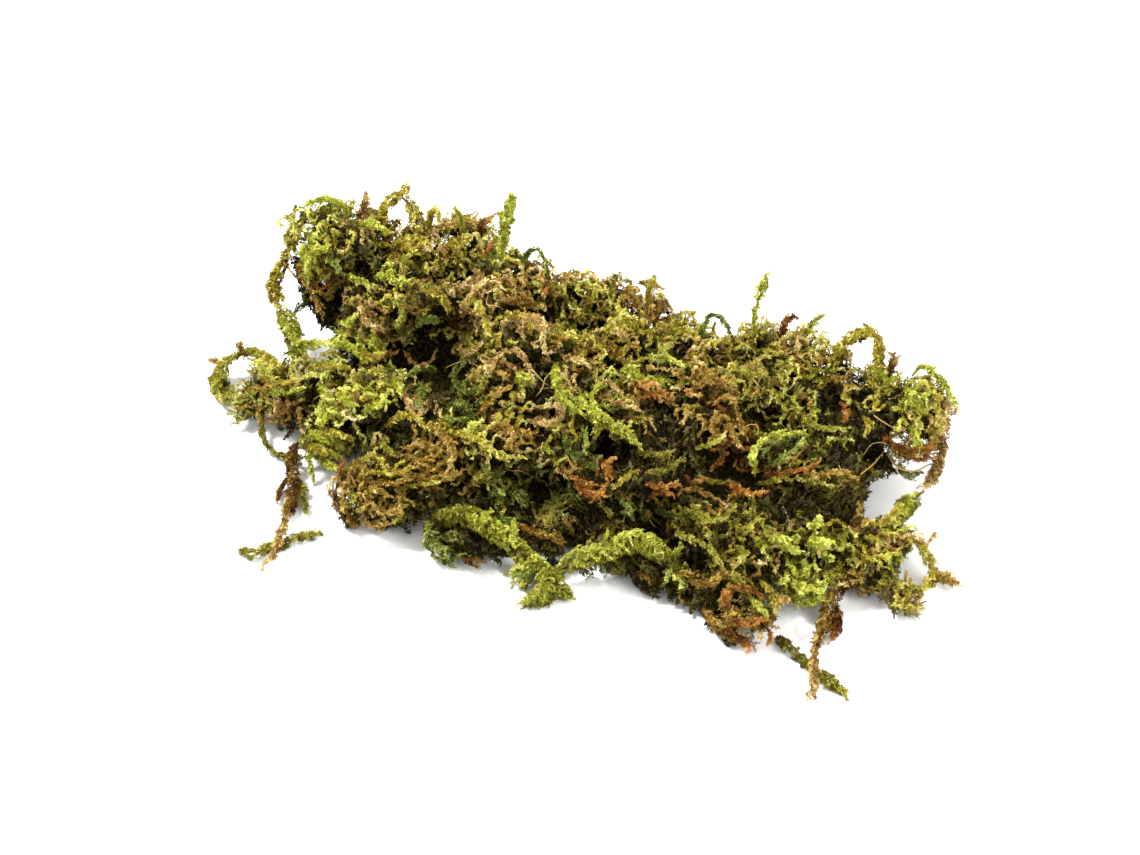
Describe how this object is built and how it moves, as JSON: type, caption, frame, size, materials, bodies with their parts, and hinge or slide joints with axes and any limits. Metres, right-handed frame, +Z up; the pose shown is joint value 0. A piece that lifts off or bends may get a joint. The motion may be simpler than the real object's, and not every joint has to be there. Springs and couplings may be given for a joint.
{
  "type": "moss clump",
  "caption": "Loose tangled clump of dried leafy moss with ragged tufts and trailing shoots, laid on a surface as ground cover or filler.",
  "frame": {"origin": "on the flat cut underside, under the middle of the clump, where it rests on the floor", "axes": "+X along the clump's length, from the end with the overhanging back cushion to the end with the low right fringe; +Y towards the tall back rim; +Z up"},
  "size_m": [0.156, 0.1283, 0.0431],
  "materials": {
    "moss_olive": "matt, olive yellow-green dried shoots",
    "moss_green": "matt, deep green shoots",
    "moss_lime": "matt, fresh yellow-green shoots",
    "moss_brown": "matt, brown dried shoots",
    "moss_tan": "matt, tan bare stems and tips"
  },
  "bodies": {
    "root": {"brown_sprig": "moss_brown", "curled_sprig": "moss_olive", "far_left_loop": "moss_olive", "far_left_sprig": "moss_brown", "far_right_loop": "moss_olive", "far_right_sprig": "moss_brown", "front_left_strand": "moss_lime", "front_right_strand": "moss_lime", "front_tail_left": "moss_lime", "front_tail_right": "moss_lime", "left_bare_stem": "moss_tan", "left_crossing_shoot": "moss_green", "left_drooping_shoot": "moss_olive", "left_fringe_knob": "moss_brown", "left_knob_sprig": "moss_brown", "left_lime_shoot": "moss_lime", "left_outer_shoot": "moss_brown", "left_ring_shoot": "moss_brown", "left_rising_shoot": "moss_olive", "left_trailing_hook": "moss_brown", "left_trailing_shoot": "moss_brown", "left_trailing_side": "moss_brown", "left_trailing_tip": "moss_tan", "left_upright_shoot": "moss_green", "lime_sprig": "moss_lime", "middle_arch": "moss_green", "middle_knob": "moss_olive", "moss_mat": "moss_olive", "right_bare_stem": "moss_tan", "right_crossing_shoot": "moss_green", "right_drooping_shoot": "moss_olive", "right_frond": "moss_lime", "right_knob_sprig": "moss_brown", "right_lime_shoot": "moss_lime", "right_outer_shoot": "moss_brown", "right_rising_shoot": "moss_olive", "right_trailing_shoot": "moss_brown", "right_trailing_side": "moss_brown", "right_trailing_tip": "moss_tan", "right_upright_shoot": "moss_green", "rust_sprig": "moss_brown", "thin_arch": "moss_green", "thin_sprig": "moss_lime", "upper_left_frond": "moss_lime"}
  },
  "joints": []
}
